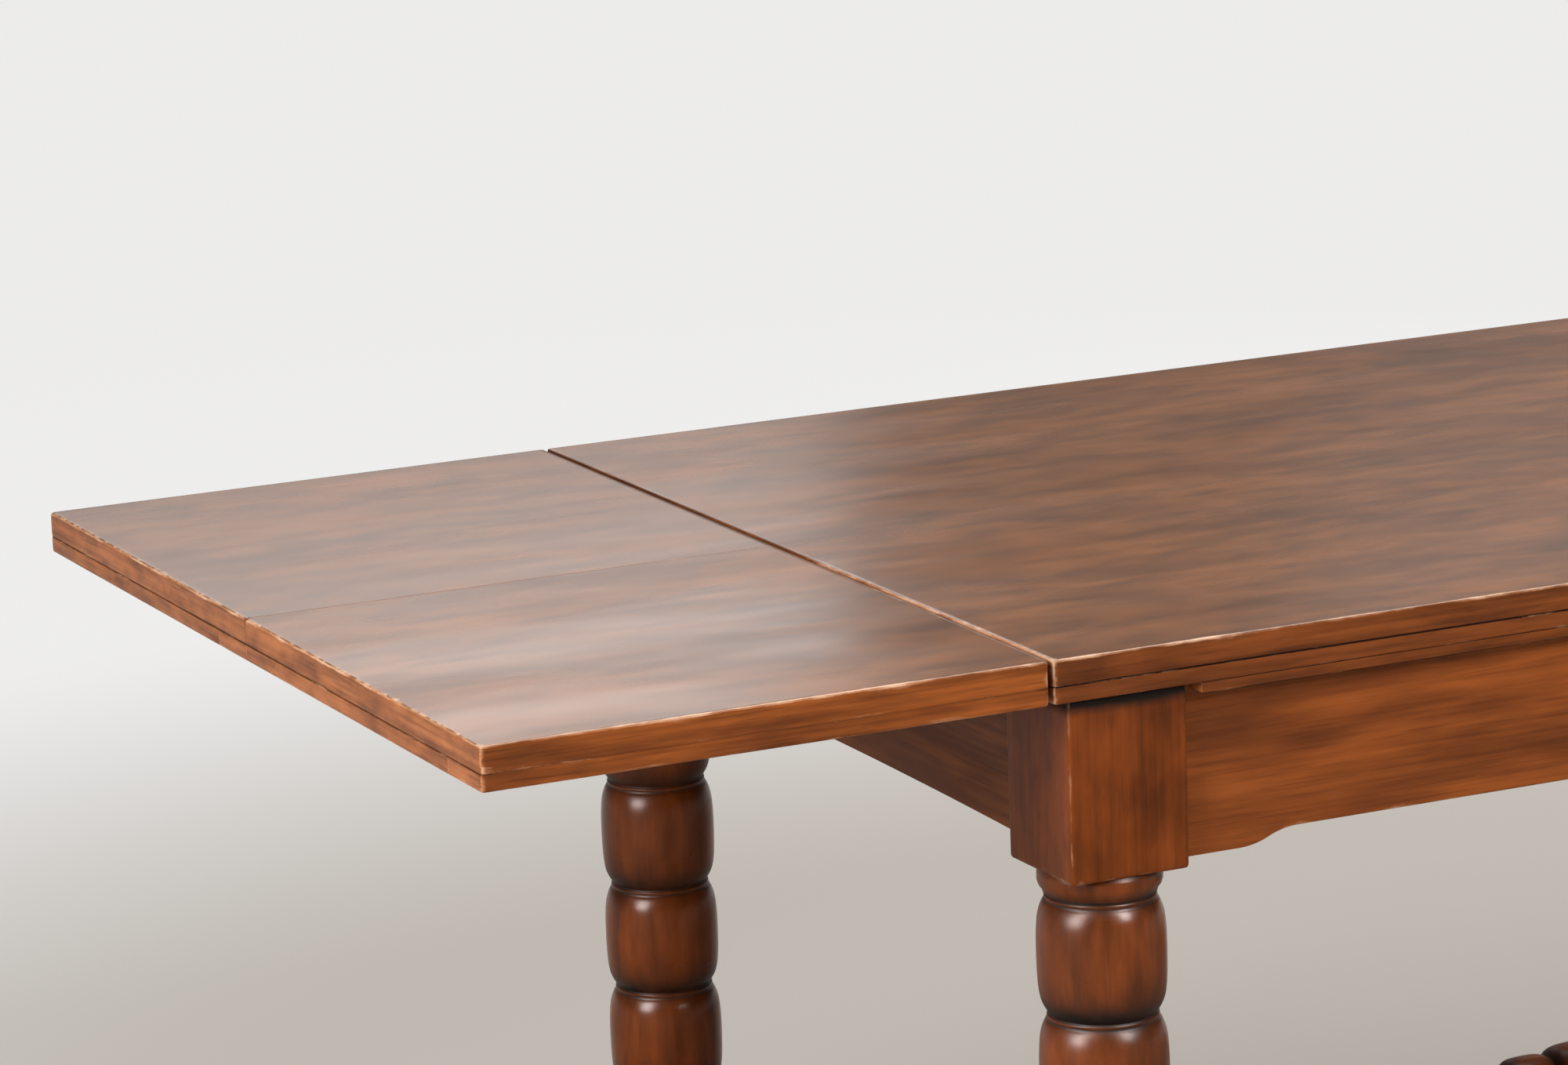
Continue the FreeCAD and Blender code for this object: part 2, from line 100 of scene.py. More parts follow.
def being_looked_at(add):
    """A node that gives 1 where the room is seen directly, in gloss or through glass, and 0 where it gives light."""
    rays = add("LightPath").outputs
    looks = add("Math", {0: rays["Is Camera Ray"], 1: rays["Is Glossy Ray"]}, operation="MAXIMUM")
    return add("Math", {0: looks, 1: rays["Is Transmission Ray"]}, operation="MAXIMUM")


floor_finish = bpy.data.materials.new("studio_floor")
add = shader_nodes(floor_finish)
away = add("VectorMath", {0: add("TexCoord").outputs["Object"]}, operation="LENGTH")
out = add("MapRange", {"Value": away.outputs["Value"], "From Min": whitens_from, "From Max": whitens_to},
          interpolation_type="SMOOTHSTEP")
pale = add("Mix", {0: out, 6: (*floor_near, 1), 7: (*floor_far, 1)}, data_type="RGBA")
matt = add("BsdfDiffuse", {"Color": pale.outputs[2]})
glow = add("Emission", {"Color": pale.outputs[2], "Strength": 1.0})
shine = add("MapRange", {"Value": out, "To Min": floor_near_glow, "To Max": floor_far_glow})
share = add("Math", {0: being_looked_at(add), 1: shine}, operation="MULTIPLY")
surface = add("MixShader", {0: share, 1: matt, 2: glow})
add("OutputMaterial", {"Surface": surface})

floor_corners = [(x * floor_reach, y * floor_reach, 0) for x, y in ((-1, -1), (1, -1), (1, 1), (-1, 1))]
floor_mesh = bpy.data.meshes.new("studio_floor")
floor_mesh.from_pydata(floor_corners, [], [(0, 1, 2, 3)])
show("studio_floor", floor_mesh, floor_finish)

world = bpy.data.worlds.new("studio")
bpy.context.scene.world = world
add = shader_nodes(world)
aim = add("SeparateXYZ", {0: add("TexCoord").outputs["Generated"]})
down = add("MapRange", {"Value": aim.outputs["Z"], "From Min": sky_pale_up_to, "From Max": 0.0},
           interpolation_type="SMOOTHSTEP")
seen = add("Math", {0: being_looked_at(add), 1: down}, operation="MULTIPLY")
sky = add("Mix", {0: seen, 6: (*sky_high, 1), 7: (*sky_low, 1)}, data_type="RGBA")
add("OutputWorld", {"Surface": add("Background", {"Color": sky.outputs[2]})})


# Lamps: soft boxes at the left end, in front and overhead light the table, and a low one behind fills its rear. The
# panels show only in gloss: two behind put a grey sheen on the leaf and the top, and two before the table put the
# soft spots on the bobbins. Those two are linked to the legs alone, because the flat top would mirror them whole.
lamps = {
    "left_fill": ((-3.55, -0.95, 2.10), (-0.9, -0.4, 0.6), (1.1, 2.2), 118.0),
    "front_fill": ((0.10, -3.00, 2.50), (-0.7, -0.4, 0.5), (0.6, 1.1), 75.0),
    "overhead_box": ((0.8, 0.4, 4.2), (0.6, 0.0, 0.7), (3.4, 2.6), 150.0),
    "left_panel": ((-3.54, -0.95, 2.10), (-0.9, -0.4, 0.6), (1.3, 2.6), 520.0),
    "front_panel": ((0.10, -2.99, 2.50), (-0.7, -0.4, 0.5), (1.0, 1.9), 390.0),
    "rear_panel": ((0.32, 4.6, 3.13), (0.32, 0.0, 3.13), (1.9, 2.6), 28.0),
    "rear_right_panel": ((3.0, 4.6, 3.00), (3.0, 0.0, 3.00), (1.7, 1.8), 4.8),
    "rear_fill": ((2.6, 3.4, 1.5), (0.2, 0.0, 0.5), (2.4, 1.6), 70.0),
}


def soft_box(name, place, aim, size, power):
    """A rectangular lamp turned to its aim. size is (width, height)."""
    lamp = bpy.data.lights.new(name, "AREA")
    lamp.shape = "RECTANGLE"
    lamp.size, lamp.size_y = size
    lamp.energy = power
    box = show(name, lamp)
    box.location = place
    box.rotation_euler = (Vector(aim) - Vector(place)).to_track_quat("-Z", "Y").to_euler()
    return box


spot_lit_legs = bpy.data.collections.new("spot_lit_legs")
for name, values in lamps.items():
    box = soft_box(name, *values)
    box.visible_diffuse = not name.endswith("panel")
    box.visible_glossy = not name.endswith("fill")
    if name in ("left_panel", "front_panel"):
        box.light_linking.receiver_collection = spot_lit_legs


# Camera: a long lens a little above the table, off its front left corner and turned slightly out of level. It
# frames the left leaf, one leg and part of the top.
image_width = 2000
lens_in_pixels = 7467
sensor_width = 36.0
camera_place = (-2.872, -4.037, 1.745)
camera_yaw = 0.4375
camera_pitch = 0.2151
camera_roll = -0.0367

camera_data = bpy.data.cameras.new("camera")
camera_data.sensor_width = sensor_width
camera_data.lens = lens_in_pixels * sensor_width / image_width
camera = show("camera", camera_data)
turn = Matrix.Rotation(-camera_yaw, 4, "Z") @ Matrix.Rotation(math.pi / 2 - camera_pitch, 4, "X")
camera.matrix_world = Matrix.Translation(camera_place) @ turn @ Matrix.Rotation(camera_roll, 4, "Z")
bpy.context.scene.camera = camera
bpy.context.scene.view_settings.view_transform = "Standard"


# Main top: one wide board of glued planks, stained brown, its upper arris rounded over by hand and rubbed pale.
# It lies on edging strips, so that a fine parting line runs round its side 20 mm below the surface.
top_arris = 0.0024
board_under_arris = 0.0011
plan_corner = 0.004
crisp_corner = 0.0004
smallest_round = 0.0002
corner_steps = 4
arris_steps = 3
edge_spacing = 0.045
full_wear_arris = 0.0024
wear_margin = 0.0022
wear_fade = 0.010
lower_arris_middle = 0.3
lower_arris_wear = (0.5, 1.0, 0.5)
upper_arris_wear = (0.4, 1.0, 0.5, 0.12)
lower_ring_count = 6
corner_end_wear = 0.25
near_corner_wear = 0.2
hand_waver = 0.0005
waver_length = 0.07
waver_probe = 0.001
side_tolerance = 0.001
side_facing = 0.75
joint_dirt = 1.3
# Sets how far below the upper arris the leg blocks' painted shade is full.
painted_shade_margin = 0.0001
crisp_share = 0.1
crisp_wear = 0.35
tight_share = 0.4
gap_wear = 1.3
# Shade painted into the gap between a leaf and the top, towards the rear.
gap_painted_shade = 0.6
gap_worn_from = 0.10
gap_worn_to = -0.25
sharp_from = math.radians(38)


def corner_points(before, here, after, radius, inset):
    """A corner of an outline moved inwards by inset, as points along its round."""
    ahead = (here - before).normalized()
    onward = (after - here).normalized()
    out_1 = Vector((ahead.y, -ahead.x))
    out_2 = Vector((onward.y, -onward.x))
    corner = here - (out_1 + out_2) * (inset / (1 + out_1.dot(out_2)))
    if radius == 0:
        return [corner]
    left = max(radius - inset, smallest_round)
    back = left * math.tan(ahead.angle(onward) / 2)
    centre = corner - ahead * back - out_1 * left
    return [centre + out_1.lerp(out_2, step / corner_steps).normalized() * left for step in range(corner_steps + 1)]


def outline_loop(corners, inset):
    """The outline's points moved inwards, with how near each is to a corner. corners are (x, y, radius)."""
    places = [Vector(c[:2]) for c in corners]
    count = len(places)
    rounds = []
    for i in range(count):
        rounds.append(corner_points(places[i - 1], places[i], places[(i + 1) % count], corners[i][2], inset))
    points = []
    near = []
    for i in range(count):
        points += rounds[i]
        last = max(len(rounds[i]) - 1, 1)
        for step in range(len(rounds[i])):
            near.append(1.0 - (1 - corner_end_wear) * abs(2 * step / last - 1) if corners[i][2] > 0 else 0.0)
        start, end = rounds[i][-1], rounds[(i + 1) % count][0]
        length = (places[(i + 1) % count] - places[i]).length
        if length < 4 * wear_fade:
            continue
        marks = [(wear_margin / length, near_corner_wear, i), (wear_fade / length, 0.0, i)]
        steps = int(length / edge_spacing)
        marks += [(step / steps, 0.0, i) for step in range(1, steps)]
        marks += [(1 - wear_fade / length, 0.0, i + 1), (1 - wear_margin / length, near_corner_wear, i + 1)]
        for share, value, owner in sorted(marks):
            points.append(start.lerp(end, share))
            near.append(value if corners[owner % count][2] > 0 else 0.0)
    return points, near


def edge_rings(low, high, lower_arris, upper_arris, fade):
    """Rings of a board's section as (inset, level, wear), from its underside round to its face. The wear of an
    arris has gone at the distance fade from the side."""
    lower = [share * min(lower_arris / full_wear_arris, 1.0) for share in lower_arris_wear]
    upper = [share * min(upper_arris / full_wear_arris, 1.0) for share in upper_arris_wear]
    rings = [(fade, low, 0.0), (lower_arris + wear_margin, low, 0.0), (lower_arris, low, lower[0])]
    rings.append((lower_arris * lower_arris_middle, low + lower_arris * lower_arris_middle, lower[1]))
    rings += [(0.0, low + lower_arris, lower[2]), (0.0, low + lower_arris + wear_margin, 0.0)]
    rings += [(0.0, high - upper_arris - wear_margin, 0.0), (0.0, high - upper_arris, upper[0])]
    for step in range(1, arris_steps + 1):
        angle = math.pi / 2 * step / (arris_steps + 1)
        rings.append((upper_arris * (1 - math.cos(angle)), high - upper_arris * (1 - math.sin(angle)), upper[1]))
    rings += [(upper_arris, high, upper[2]), (upper_arris + wear_margin, high, upper[3]), (fade, high, 0.0)]
    return rings


def ring_solid(name, rings, shift=0.0):
    """A closed mesh through rings of points. A ring is (points, wear, darkening), with a value for each point;
    the darkening is grime and painted shade.
    """
    count = len(rings[0][0])
    points = [p for ring in rings for p in ring[0]]
    faces = []
    for row in range(len(rings) - 1):
        for i in range(count):
            j = (i + 1) % count
            faces.append((row * count + i, row * count + j, (row + 1) * count + j, (row + 1) * count + i))
    faces.append(tuple(reversed(range(count))))
    faces.append(tuple(range((len(rings) - 1) * count, len(rings) * count)))
    mesh = bpy.data.meshes.new(name)
    mesh.from_pydata(points, [], faces)
    for key, column in (("wear", 1), ("glaze", 2)):
        attribute = mesh.attributes.new(key, "FLOAT", "POINT")
        attribute.data.foreach_set("value", [v for ring in rings for v in ring[column]])
    attribute = mesh.attributes.new("shift", "FLOAT", "POINT")
    attribute.data.foreach_set("value", [shift] * len(points))
    mesh.shade_smooth()
    mesh.set_sharp_from_angle(angle=sharp_from)
    return mesh


def slab(name, corners, low, high, lower_arris, upper_arris, shift=0.0, long_side=1.0, crisp_y=None, tight_x=(),
         fade=wear_fade, dirt_and_shade=(0.0, 0.0), joint="lower", shaded=0.0):
    """A board of the given outline, its edges eased, and its worn arrises a little uneven, as hand work is.
    The lower and the upper arris are darkened by the given amounts: by grime lying in a joint, and by painted
    shade on the lip and on the leg blocks. long_side is the share of the joint's arris and grime that the sides
    along X get. The side at crisp_y stays sharp, and those at tight_x, which line a gap, nearly so: hands have
    rubbed them pale at the front, and shade is painted in the gap towards the rear. shaded is how far below the
    upper arris the painted shade on the leg blocks fades out."""
    rings = []
    section = edge_rings(low, high, lower_arris, upper_arris, fade)
    darkened_from = high - upper_arris
    # For the leg blocks: a ring from which painted shadow darkens upwards to the top.
    if shaded:
        section.insert(lower_ring_count, (0.0, high - shaded, 0.0))
        darkened_from -= wear_margin + painted_shade_margin
    joint_arris = lower_arris if joint == "lower" else upper_arris
    outer, near = outline_loop(corners, 0.0)
    for inset, level, wear in section:
        points, _ = outline_loop(corners, inset)
        deeper, _ = outline_loop(corners, inset + waver_probe)
        at_joint = inset <= joint_arris and (level < (low + high) / 2) == (joint == "lower")
        # Grime for the joints; painted shade for the lip and the leg blocks' tops.
        darkened = 0.0
        if level < low + lower_arris:
            darkened = dirt_and_shade[0]
        elif level > darkened_from:
            darkened = dirt_and_shade[1]
        ring = []
        glaze = []
        for point, further, edge in zip(points, deeper, outer):
            place = Vector((point.x, point.y, level))
            swell = 0.5 + 0.5 * noise.noise(place / waver_length + Vector((shift, 0, 0)))
            give = hand_waver * swell * wear
            moved = point + (further - point) * (give / waver_probe)
            crisp = crisp_y is not None and abs(edge.y - crisp_y) < side_tolerance and inset <= upper_arris
            if at_joint or crisp:
                moved.y = edge.y + (moved.y - edge.y) * (crisp_share if crisp else long_side)
            if inset <= upper_arris and any(abs(edge.x - x) < side_tolerance for x in tight_x):
                moved.x = edge.x + (moved.x - edge.x) * tight_share
            ring.append((moved.x, moved.y, level))
            end_side = min(abs(edge.x - x) for x, _, _ in corners) < wear_fade
            glaze.append(darkened if end_side else darkened * long_side)
        weights = [max(wear, value) if inset < fade else 0.0 for value in near]
        if crisp_y is not None:
            weights = [w * crisp_wear if abs(edge.y - crisp_y) < side_tolerance else w
                       for w, edge in zip(weights, outer)]
        # Along a gap, the arrises are worn pale towards the front and painted with shade towards the rear.
        for i, edge in enumerate(outer):
            if any(abs(edge.x - x) < side_tolerance for x in tight_x):
                rubbed = min(max((edge.y - gap_worn_from) / (gap_worn_to - gap_worn_from), 0.0), 1.0)
                weights[i] *= gap_wear * rubbed
                glaze[i] = gap_painted_shade * (1 - rubbed) if inset <= upper_arris else 0.0
        rings.append((ring, weights, glaze))
    return ring_solid(name, rings, shift)


def rectangle(x0, x1, y0, y1, radius=plan_corner, crisp=()):
    """Its corners, each of the radius unless it lies at a crisp value of y."""
    return [(x, y, crisp_corner if y in crisp else radius) for x, y in ((x0, y0), (x1, y0), (x1, y1), (x0, y1))]


def colour_ramp(add, fac, stops):
    """A colour ramp that runs smoothly past the given (position, colour) stops."""
    ramp = add("ValToRGB", {"Fac": fac})
    ramp.color_ramp.interpolation = "B_SPLINE"
    while len(ramp.color_ramp.elements) < len(stops):
        ramp.color_ramp.elements.new(1.0)
    for element, (position, colour) in zip(ramp.color_ramp.elements, stops):
        element.position = position
        element.color = (*colour, 1.0)
    return ramp.outputs["Color"]


def sums(add):
    """Functions that add a node of arithmetic, a sum and a product."""

    def maths(operation, *sources, clamp=False):
        return add("Math", dict(enumerate(sources)), operation=operation, use_clamp=clamp)

    return maths, functools.partial(maths, "ADD"), functools.partial(maths, "MULTIPLY")


pale_wood = (0.52, 0.33, 0.21)
# The dark colour of grime in pores and grooves, also used for painted shade.
brown_dirt_and_shade = (0.02, 0.008, 0.005)
# Each spread is its scale along and across the grain, its detail and its roughness.
cloud_detail = (3.0, 0.6)
blotch_detail = (3.0, 0.55)
fibre_spread = (5.0, 200.0, 3.0, 0.6)
pore_spread = (16.0, 420.0, 2.0, 0.5)
dirt_and_shade_spread = (9.0, 22.0, 3.0, 0.6)
chip_spread = (20.0, 90.0, 5.0, 0.65)
uneven_spread = (3.0, 12.0, 2.0, 0.6)
shift_step = (3.7, 5.3, 7.9)
bend_scale = 3.5
bend_size = 0.045
cloud_share = 0.55
blotch_share = 0.45
blotches_to_clouds = (3.6, 3.1)
middle_tone = 0.94
growth_scale = (0.45, 7.0)
growth_lines = 2.4
growth_waver = 6.0
growth_line_tint = (0.74, 0.69, 0.65)
growth_line_width = 0.35
pore_from = 0.45
pore_deepest = 0.28
least_dirt_and_shade = 0.4
dirt_and_shade_dulls = 0.25
chips_open = 8.0
thin_from = 0.66
thin_rate = 5.0
thin_bareness = 0.4
bare_from = 0.80
bare_rate = 6.0
uneven_range = (0.3, 0.7)
shine_range = (-0.05, 0.07)
fibre_height = 0.6
pore_height = -0.1
grain_relief = 0.08
grain_depth = 0.0005


def stained_wood(name, grain, light, dark, deep=brown_dirt_and_shade, pale=pale_wood, gloss=0.34, cloud=(2.2, 9.0),
                 contrast=0.10, fibre=0.3, rubbed=0.27, polish=0.25):
    """Stained, waxed wood whose fibres run along the axis grain. The colours are its light and dark figure, the grime
    in its pores and grooves, which also serves as painted shade, and its bare arrises. Attributes give the wear,
    the darkening by grime and painted shade, and each piece's own place in the pattern."""
    material = bpy.data.materials.new(name)
    add = shader_nodes(material)
    maths, plus, times = sums(add)
    axis = "XYZ".index(grain)

    def colour_mix(fac, a, b, blend="MIX"):
        sockets = {0: fac, 6: a if isinstance(a, bpy.types.NodeSocket) else (*a, 1.0)}
        sockets[7] = b if isinstance(b, bpy.types.NodeSocket) else (*b, 1.0)
        return add("Mix", sockets, data_type="RGBA", blend_type=blend).outputs[2]

    shift = add("Attribute", attribute_name="shift")
    moved = add("VectorMath", {0: shift.outputs["Vector"], 1: shift_step}, operation="MULTIPLY")
    straight = add("VectorMath", {0: add("TexCoord").outputs["Object"], 1: moved}, operation="ADD")
    bend = add("TexNoise", {"Vector": straight, "Scale": bend_scale, "Detail": 2.0})
    bent = add("VectorMath", {0: bend.outputs["Color"], 1: [bend_size] * 3}, operation="MULTIPLY")
    wavy = add("VectorMath", {0: straight, 1: bent}, operation="ADD")

    def stretched(along, across, place=wavy):
        scale = [across] * 3
        scale[axis] = along
        return add("Mapping", {"Vector": place, "Scale": scale})

    def spread(along, across, detail, roughness, place=wavy):
        return add("TexNoise", {"Vector": stretched(along, across, place), "Scale": 1.0, "Detail": detail,
                                "Roughness": roughness})

    clouds = times(spread(*cloud, *cloud_detail), cloud_share - fibre / 2)
    blotch_scale = [a * b for a, b in zip(cloud, blotches_to_clouds)]
    blotches = times(spread(*blotch_scale, *blotch_detail), blotch_share - fibre / 2)
    fibres = spread(*fibre_spread, place=straight)
    figure = plus(plus(clouds, blotches), times(fibres, fibre))
    middle = [(a + b) / 2 * middle_tone for a, b in zip(light, dark)]
    base = colour_ramp(add, figure, [(0.5 - contrast, dark), (0.5, middle), (0.5 + contrast, light)])
    growth = add("TexWave", {"Vector": stretched(*growth_scale), "Scale": growth_lines, "Distortion": growth_waver,
                             "Detail": 1.0, "Detail Scale": 1.0, "Detail Roughness": 0.5},
                 bands_direction="DIAGONAL")
    lines = colour_ramp(add, growth.outputs["Fac"], [(0.0, growth_line_tint), (growth_line_width, (1.0, 1.0, 1.0))])
    base = colour_mix(fibre, base, lines, "MULTIPLY")
    pores = spread(*pore_spread, place=straight)
    pore = add("MapRange", {"Value": pores, "From Min": pore_from, "From Max": pore_deepest})
    base = colour_mix(times(pore, fibre), base, deep)

    glaze = add("Attribute", attribute_name="glaze").outputs["Fac"]
    # Grime in joints and grooves, and painted shade on the lip, block tops, gaps and lower bobbin shoulders.
    dirt_and_shade = times(glaze, plus(spread(*dirt_and_shade_spread), least_dirt_and_shade), clamp=True)
    base = colour_mix(dirt_and_shade, base, deep)

    wear = add("Attribute", attribute_name="wear").outputs["Fac"]
    chips = spread(*chip_spread)
    open_to_chips = times(wear, chips_open, clamp=True)
    rub = plus(times(wear, rubbed), times(chips, open_to_chips))
    thin = [a * (1 - thin_bareness) + b * thin_bareness for a, b in zip(light, pale)]
    for start, rate, colour in ((thin_from, thin_rate, thin), (bare_from, bare_rate, pale)):
        base = colour_mix(times(maths("SUBTRACT", rub, start), rate, clamp=True), base, colour)

    uneven = add("MapRange", {"Value": spread(*uneven_spread), "From Min": uneven_range[0],
                              "From Max": uneven_range[1], "To Min": shine_range[0] + gloss,
                              "To Max": shine_range[1] + gloss})
    dull = plus(uneven, times(dirt_and_shade, dirt_and_shade_dulls), clamp=True)
    height = plus(times(fibres, fibre_height), times(pore, pore_height))
    bump = add("Bump", {"Strength": grain_relief, "Distance": grain_depth, "Height": height})
    wood = add("BsdfPrincipled", {"Base Color": base, "Roughness": dull, "Normal": bump,
                                  "Specular IOR Level": polish})
    add("OutputMaterial", {"Surface": wood})
    return material


def by_side(mesh, x_side, y_side):
    """Gives the faces of a board's ends and long sides their own materials, and leaves its face and underside."""
    for face in mesh.polygons:
        if abs(face.normal.x) > side_facing:
            face.material_index = x_side
        elif abs(face.normal.y) > side_facing:
            face.material_index = y_side


long_edge = dict(cloud=(4.0, 30.0), contrast=0.12, polish=0.06)
top_wood = stained_wood("top_wood", "X", (0.208, 0.074, 0.020), (0.078, 0.030, 0.011), gloss=0.23, cloud=(4.5, 14.0),
                        contrast=0.14, fibre=0.08, rubbed=0.31, polish=0.42)
main_edge_wood = stained_wood("main_edge_wood", "X", (0.225, 0.060, 0.014), (0.068, 0.020, 0.007), **long_edge)
edge_wood_x = stained_wood("edge_wood_x", "X", (0.33, 0.088, 0.018), (0.098, 0.028, 0.009), **long_edge)
edge_wood_y = stained_wood("edge_wood_y", "Y", (0.36, 0.120, 0.038), (0.11, 0.033, 0.011), cloud=(9.0, 26.0),
                           contrast=0.12, rubbed=0.31, polish=0.06)


def merged(name, meshes, turn_outwards=False):
    """One mesh of several closed ones, with all their attributes."""
    build = bmesh.new()
    for mesh in meshes:
        build.from_mesh(mesh)
    if turn_outwards:
        bmesh.ops.recalc_face_normals(build, faces=build.faces)
    mesh = bpy.data.meshes.new(name)
    build.to_mesh(mesh)
    build.free()
    return mesh


def dress(node, mesh, body, slot, *materials):
    """A piece of the mesh that stands for the node, moves with its body, and has the materials given. slot is
    not used.
    """
    piece = show(node + "_dressed", mesh, *materials)
    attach(piece, body)
    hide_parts(node)
    return piece


def board_piece(node, body, shift, tight_x, edge_wood, dirt_and_shade, long_side=1.0, crisp_y=None):
    """A board in place of its plain node. tight_x are its sides along a gap, and dirt lies in its parting line."""
    low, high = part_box(node)
    mesh = slab(node + "_dressed", rectangle(low.x, high.x, low.y, high.y, crisp=(crisp_y,)), low.z, high.z,
                board_under_arris, top_arris, shift=shift, long_side=long_side, crisp_y=crisp_y, tight_x=tight_x,
                dirt_and_shade=(dirt_and_shade, 0.0))
    by_side(mesh, 1, 2)
    dress(node, mesh, body, "top_wood", top_wood, edge_wood_y, edge_wood)


low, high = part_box("top_board")
board_piece("top_board", "root", 0.0, (low.x, high.x), main_edge_wood, joint_dirt)


# Edging of the top: strips glued under the board's margin, so that the edge looks thick. Between the legs the
# long strips carry a lip, which hangs just in front of the apron.
edging_arris = 0.0009
edging_under_arris = 0.0016
lip_arris = 0.0010
lip_top_arris = 0.0004
lip_lap = 0.0005
lip_short_of_leg = 0.008
lip_fade = 0.006
# The lip darkens along both arrises: painted shade along the lower, and grime in its joint above.
lip_dirt_and_shade = (1.5, 1.1)
edging_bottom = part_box("top_edging_left")[0].z
lip_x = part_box("leg_front_right")[0].x - lip_short_of_leg

for side, own in (("front", 0.3), ("rear", 2.3)):
    node = "top_edging_" + side
    low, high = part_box(node)
    strip = slab(node + "_strip", rectangle(low.x, high.x, low.y, high.y), edging_bottom, high.z, edging_under_arris,
                 edging_arris, shift=own, dirt_and_shade=(0.0, joint_dirt))
    apron_low, apron_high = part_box("apron_" + side)
    lip_y = (low.y, apron_low.y) if side == "front" else (apron_high.y, high.y)
    lip = slab(node + "_lip", rectangle(-lip_x, lip_x, *lip_y, 0.0), low.z, edging_bottom + lip_lap, lip_arris,
               lip_top_arris, shift=own, fade=lip_fade, dirt_and_shade=lip_dirt_and_shade)
    mesh = merged(node + "_dressed", [strip, lip])
    by_side(mesh, 1, 0)
    dress(node, mesh, "root", "edging_wood", main_edge_wood, edge_wood_y)

for side in ("left", "right"):
    node = "top_edging_" + side
    low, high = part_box(node)
    strip = slab(node + "_dressed", rectangle(low.x, high.x, low.y, high.y), low.z, high.z, edging_under_arris,
                 edging_arris, shift=4.1, dirt_and_shade=(0.0, joint_dirt))
    dress(node, strip, "root", "edging_wood", edge_wood_y)


# Leaves: each is two half boards that meet on the table's centre line. Edging strips are glued under the margins
# of each half: one along its outer side, one along the meeting edge, and one across each end between them.
edging_width = 0.060
leaf_long_side = 0.25
leaf_joint_dirt = 0.75
quarters = [(end, row) for end in ("left", "right") for row in ("front", "rear")]

for end, row in quarters:
    body = f"{end}_{row}_leaf"
    stem = f"leaf_{end}_{row}_"
    own = (2.7 if end == "left" else 6.1) + (0.0 if row == "front" else 1.9)
    low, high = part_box(stem + "board")
    meeting = high.y if row == "front" else low.y
    board_piece(stem + "board", body, own, (high.x if end == "left" else low.x,), edge_wood_x, leaf_joint_dirt,
                leaf_long_side, meeting)

    low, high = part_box(stem + "long_edgings")
    outer_side = low.y if row == "front" else high.y
    strips = [slab(stem + "strip", rectangle(low.x, high.x, y0, y1, crisp={y0, y1} - {outer_side}), low.z, high.z,
                   edging_under_arris, edging_arris, shift=own + y0, long_side=leaf_long_side,
                   dirt_and_shade=(0.0, leaf_joint_dirt), joint="upper")
              for y0, y1 in ((low.y, low.y + edging_width), (high.y - edging_width, high.y))]
    mesh = merged(stem + "long_edgings_dressed", strips)
    by_side(mesh, 1, 0)
    dress(stem + "long_edgings", mesh, body, "edging_wood", edge_wood_x, edge_wood_y)

    low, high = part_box(stem + "end_edgings")
    strips = [slab(stem + "strip", rectangle(x0, x1, low.y, high.y, crisp_corner), low.z, high.z,
                   edging_under_arris, edging_arris, shift=own + x0, dirt_and_shade=(0.0, leaf_joint_dirt))
              for x0, x1 in ((low.x, low.x + edging_width), (high.x - edging_width, high.x))]
    mesh = merged(stem + "end_edgings_dressed", strips)
    dress(stem + "end_edgings", mesh, body, "edging_wood", edge_wood_y)


# Legs: each is one square of hardwood, turned between its two square blocks into five barrel-shaped bobbins.
# A bobbin starts under its groove with a thin fillet and a scratched line. Dark grime lies in every groove, and
# the lower part of each bobbin is painted darker towards the groove below, as shade.
bobbin_count = 5
turning_top = 0.570
turning_bottom = 0.115
bobbin_radius = 0.0482
groove_radius = 0.0402
bobbin_rows = 40
bobbin_sides = 56
row_crowding = 0.88
row_gap = 0.001
row_tolerance = 0.0001
bobbin_profile = [
    (0.0, 0.0), (0.010, 0.0), (0.015, 0.16), (0.034, 0.19), (0.043, 0.07), (0.055, 0.20), (0.077, 0.375),
    (0.110, 0.55), (0.165, 0.75), (0.22, 0.865), (0.275, 0.928), (0.35, 0.977), (0.46, 1.0), (0.62, 0.985),
    (0.72, 0.94), (0.80, 0.865), (0.87, 0.74), (0.93, 0.50), (0.97, 0.24), (1.0, 0.0)]
# Grime in the grooves, and painted shade that darkens the lower part of each bobbin.
bobbin_glaze_and_shade = [
    (0.0, 1.0), (0.012, 0.95), (0.02, 0.45), (0.036, 0.45), (0.045, 1.0), (0.056, 0.6), (0.10, 0.3), (0.20, 0.08),
    (0.32, 0.0), (0.60, 0.05), (0.78, 0.35), (0.88, 0.72), (0.95, 0.95), (1.0, 1.0)]


def new_tree(name, output, **inputs):
    """An empty geometry tree with one output and the inputs, given as title=kind, and what adds its common, geometry
    and shader nodes."""
    tree = bpy.data.node_groups.new(name, "GeometryNodeTree")
    for title, kind in inputs.items():
        tree.interface.new_socket(title.replace("_", " "), in_out="INPUT", socket_type="NodeSocket" + kind)
    tree.interface.new_socket(output, in_out="OUTPUT", socket_type="NodeSocketGeometry")
    return tree, node_adder(tree), node_adder(tree, "GeometryNode"), node_adder(tree, "ShaderNode")


